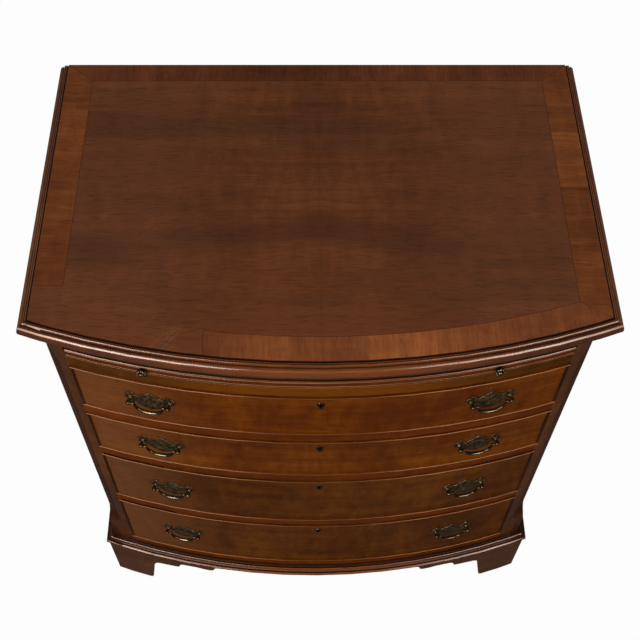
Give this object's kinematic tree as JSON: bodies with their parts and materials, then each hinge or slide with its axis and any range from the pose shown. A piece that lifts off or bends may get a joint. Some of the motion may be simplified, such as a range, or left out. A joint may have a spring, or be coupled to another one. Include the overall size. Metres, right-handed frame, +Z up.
{
  "type": "chest of drawers",
  "caption": "Bow-front chest of graduated, cock-beaded drawers with bail handles, a pull-out slide under a moulded top, canted fluted corners and shaped bracket feet.",
  "frame": {"origin": "on the floor, midway across the chest and midway from the foremost point of its bowed front to the back edge of its top", "axes": "+Z up, +X to the right of someone facing the front, +Y from the front towards the back"},
  "size_m": [0.8334, 0.5716, 0.943],
  "materials": {
    "top_wood": "dark reddish brown mahogany with a waxed polish, and lighter crossbanding round the edge",
    "edge_wood": "darker mahogany mouldings and brackets with a hard polish",
    "front_wood": "golden brown figured mahogany, polished",
    "carcase_wood": "mahogany of the carcase, polished outside",
    "lining_wood": "plain oak drawer linings, dry and unpolished",
    "back_wood": "rough pine back, unpolished",
    "old_brass": "old lacquered brass gone dark olive brown, with rubbed bright spots"
  },
  "bodies": {
    "carcase": {"top_panel": "top_wood", "top_moulding": "edge_wood", "side_left": "carcase_wood", "side_right": "carcase_wood", "back_panel": "back_wood", "corner_post_left": "carcase_wood", "corner_post_right": "carcase_wood", "top_rail": "carcase_wood", "divider_slide": "carcase_wood", "divider_1": "carcase_wood", "divider_2": "carcase_wood", "divider_3": "carcase_wood", "bottom_board": "carcase_wood", "base_moulding": "edge_wood", "apron_front": "edge_wood", "apron_left": "edge_wood", "apron_right": "edge_wood"},
    "slide": {"slide_board": "front_wood", "slide_knob_left": "old_brass", "slide_knob_right": "old_brass"},
    "drawer_1": {"drawer_1_front": "front_wood", "drawer_1_side_left": "lining_wood", "drawer_1_side_right": "lining_wood", "drawer_1_back": "lining_wood", "drawer_1_bottom": "lining_wood", "escutcheon_1": "old_brass", "handle_1_left_plate": "old_brass", "handle_1_right_plate": "old_brass"},
    "bail_1_left": {"handle_1_left_bail": "old_brass"},
    "bail_1_right": {"handle_1_right_bail": "old_brass"},
    "drawer_2": {"drawer_2_front": "front_wood", "drawer_2_side_left": "lining_wood", "drawer_2_side_right": "lining_wood", "drawer_2_back": "lining_wood", "drawer_2_bottom": "lining_wood", "escutcheon_2": "old_brass", "handle_2_left_plate": "old_brass", "handle_2_right_plate": "old_brass"},
    "bail_2_left": {"handle_2_left_bail": "old_brass"},
    "bail_2_right": {"handle_2_right_bail": "old_brass"},
    "drawer_3": {"drawer_3_front": "front_wood", "drawer_3_side_left": "lining_wood", "drawer_3_side_right": "lining_wood", "drawer_3_back": "lining_wood", "drawer_3_bottom": "lining_wood", "escutcheon_3": "old_brass", "handle_3_left_plate": "old_brass", "handle_3_right_plate": "old_brass"},
    "bail_3_left": {"handle_3_left_bail": "old_brass"},
    "bail_3_right": {"handle_3_right_bail": "old_brass"},
    "drawer_4": {"drawer_4_front": "front_wood", "drawer_4_side_left": "lining_wood", "drawer_4_side_right": "lining_wood", "drawer_4_back": "lining_wood", "drawer_4_bottom": "lining_wood", "escutcheon_4": "old_brass", "handle_4_left_plate": "old_brass", "handle_4_right_plate": "old_brass"},
    "bail_4_left": {"handle_4_left_bail": "old_brass"},
    "bail_4_right": {"handle_4_right_bail": "old_brass"}
  },
  "joints": [
    {"name": "slide_out", "type": "slide", "parent": "carcase", "child": "slide", "axis": [0, -1, 0], "range_m": [0, 0.28]},
    {"name": "drawer_1_out", "type": "slide", "parent": "carcase", "child": "drawer_1", "axis": [0, -1, 0], "range_m": [0, 0.36]},
    {"name": "bail_1_left_lift", "type": "hinge", "parent": "drawer_1", "child": "bail_1_left", "pos_m": [-0.25119, -0.25304, 0.7907], "axis": [-0.9792, 0.203, 0], "range_deg": [-12, 110]},
    {"name": "bail_1_right_lift", "type": "hinge", "parent": "drawer_1", "child": "bail_1_right", "pos_m": [0.25119, -0.25304, 0.7907], "axis": [-0.9792, -0.203, 0], "range_deg": [-12, 110]},
    {"name": "drawer_2_out", "type": "slide", "parent": "carcase", "child": "drawer_2", "axis": [0, -1, 0], "range_m": [0, 0.36]},
    {"name": "bail_2_left_lift", "type": "hinge", "parent": "drawer_2", "child": "bail_2_left", "pos_m": [-0.25119, -0.25304, 0.6482], "axis": [-0.9792, 0.203, 0], "range_deg": [-12, 110]},
    {"name": "bail_2_right_lift", "type": "hinge", "parent": "drawer_2", "child": "bail_2_right", "pos_m": [0.25119, -0.25304, 0.6482], "axis": [-0.9792, -0.203, 0], "range_deg": [-12, 110]},
    {"name": "drawer_3_out", "type": "slide", "parent": "carcase", "child": "drawer_3", "axis": [0, -1, 0], "range_m": [0, 0.36]},
    {"name": "bail_3_left_lift", "type": "hinge", "parent": "drawer_3", "child": "bail_3_left", "pos_m": [-0.25119, -0.25304, 0.4805], "axis": [-0.9792, 0.203, 0], "range_deg": [-12, 110]},
    {"name": "bail_3_right_lift", "type": "hinge", "parent": "drawer_3", "child": "bail_3_right", "pos_m": [0.25119, -0.25304, 0.4805], "axis": [-0.9792, -0.203, 0], "range_deg": [-12, 110]},
    {"name": "drawer_4_out", "type": "slide", "parent": "carcase", "child": "drawer_4", "axis": [0, -1, 0], "range_m": [0, 0.36]},
    {"name": "bail_4_left_lift", "type": "hinge", "parent": "drawer_4", "child": "bail_4_left", "pos_m": [-0.25119, -0.25304, 0.2828], "axis": [-0.9792, 0.203, 0], "range_deg": [-12, 110]},
    {"name": "bail_4_right_lift", "type": "hinge", "parent": "drawer_4", "child": "bail_4_right", "pos_m": [0.25119, -0.25304, 0.2828], "axis": [-0.9792, -0.203, 0], "range_deg": [-12, 110]}
  ]
}
